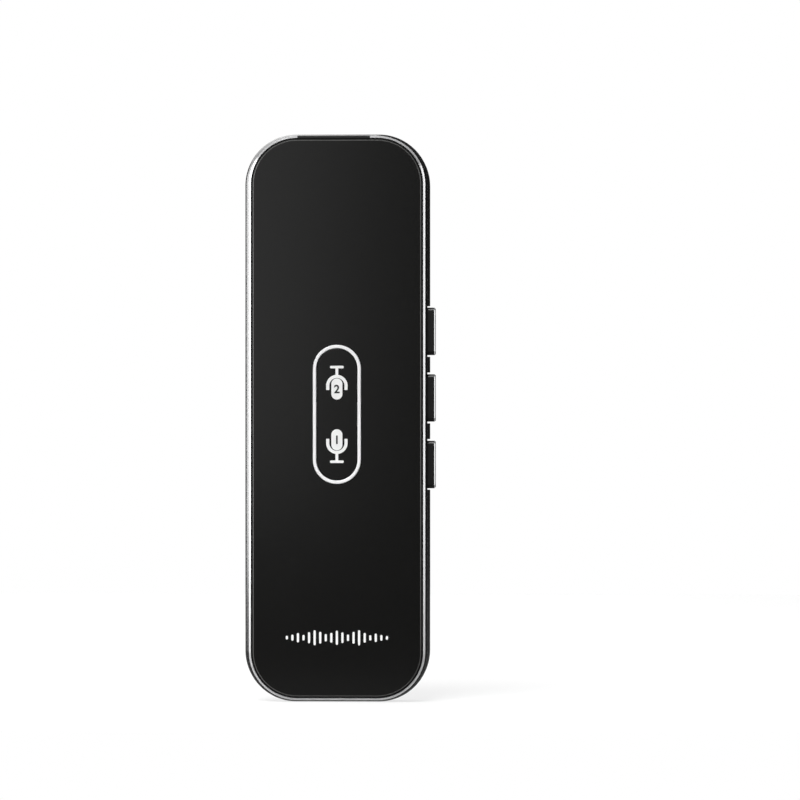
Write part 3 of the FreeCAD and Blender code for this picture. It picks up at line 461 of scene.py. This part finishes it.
floor_mesh = bpy.data.meshes.new("floor")
floor_corners = [
    (-FLOOR_SIDE, FLOOR_FRONT, 0), (FLOOR_SIDE, FLOOR_FRONT, 0),
    (FLOOR_SIDE, FLOOR_BACK, 0), (-FLOOR_SIDE, FLOOR_BACK, 0),
]
floor_mesh.from_pydata(floor_corners, [], [(0, 1, 2, 3)])
floor_mesh.materials.append(studio_white("floor_look", FLOOR_GLOW_SHARE, FLOOR_REFLECTED))
floor = bpy.data.objects.new("floor", floor_mesh)
bpy.context.scene.collection.objects.link(floor)


def make_world(front_level, top_level):
    """Pale to the camera. As light it is dim at the height of the object and brighter overhead."""
    world = bpy.data.worlds.new("studio")
    bpy.context.scene.world = world
    world.use_nodes = True
    tree = world.node_tree
    tree.nodes.clear()
    output = tree.nodes.new("ShaderNodeOutputWorld")
    path = tree.nodes.new("ShaderNodeLightPath")
    direction = tree.nodes.new("ShaderNodeTexCoord").outputs["Generated"]
    parts = tree.nodes.new("ShaderNodeSeparateXYZ")
    tree.links.new(direction, parts.inputs[0])
    height = tree.nodes.new("ShaderNodeMapRange")
    height.interpolation_type = "SMOOTHSTEP"
    height.inputs["From Min"].default_value = 0.1
    height.inputs["From Max"].default_value = 0.95
    height.inputs["To Min"].default_value = front_level
    height.inputs["To Max"].default_value = top_level
    tree.links.new(parts.outputs["Z"], height.inputs["Value"])
    light = add(tree, "ShaderNodeBackground", Color=WHITE)
    tree.links.new(height.outputs["Result"], light.inputs["Strength"])
    white = add(tree, "ShaderNodeBackground", Color=WHITE, Strength=1.0)
    mix = tree.nodes.new("ShaderNodeMixShader")
    tree.links.new(path.outputs["Is Camera Ray"], mix.inputs[0])
    tree.links.new(light.outputs[0], mix.inputs[1])
    tree.links.new(white.outputs[0], mix.inputs[2])
    tree.links.new(mix.outputs[0], output.inputs["Surface"])


def softbox(name, position, target, width, height, radiance):
    """A rectangular lamp of a given surface brightness, aimed at target. Sizes in metres."""
    lamp = bpy.data.lights.new(name, "AREA")
    lamp.shape = "RECTANGLE"
    lamp.size = width
    lamp.size_y = height
    lamp.energy = radiance * math.pi * width * height
    carrier = bpy.data.objects.new(name, lamp)
    carrier.location = position
    direction = Vector(target) - Vector(position)
    carrier.rotation_euler = direction.to_track_quat("-Z", "Y").to_euler()
    bpy.context.scene.collection.objects.link(carrier)


make_world(0.06, 0.15)
softbox("left_softbox", (-1.0, 0.0, 0.25), AIM, 0.5, 0.9, 2.5)
softbox("left_rear_strip", (-0.85, 0.5, 0.2), AIM, 0.36, 0.9, 8.0)
softbox("front_card", (-0.305, -1.1, 0.32), (-0.305, 0.0, 0.32), 0.5, 0.6, 1.1)
softbox("high_softbox", (-0.3, -0.7, 1.15), AIM, 0.8, 0.8, 10.0)
softbox("right_strip", (1.0, -0.05, 0.15), AIM, 0.3, 0.9, 1.4)
softbox("rear_softbox", (-0.45, 0.95, 0.85), AIM, 1.0, 0.9, 2.2)

# Camera
camera_data = bpy.data.cameras.new("camera")
camera_data.lens = CAMERA_LENS
camera_data.sensor_width = SENSOR_MM
camera = bpy.data.objects.new("camera", camera_data)
azimuth = math.radians(CAMERA_AZIMUTH)
elevation = math.radians(CAMERA_ELEVATION)
back = Vector((
    math.sin(azimuth) * math.cos(elevation),
    -math.cos(azimuth) * math.cos(elevation),
    math.sin(elevation),
))
distance = PICTURE_MM * CAMERA_LENS / SENSOR_MM
camera.location = (Vector(PICTURE_CENTRE_MM) + back * distance) * MM
camera.rotation_euler = (-back).to_track_quat("-Z", "Y").to_euler()
camera_data.clip_start = 0.05
camera_data.clip_end = 20.0
bpy.context.scene.collection.objects.link(camera)
bpy.context.scene.camera = camera

bpy.context.scene.view_settings.view_transform = "Standard"
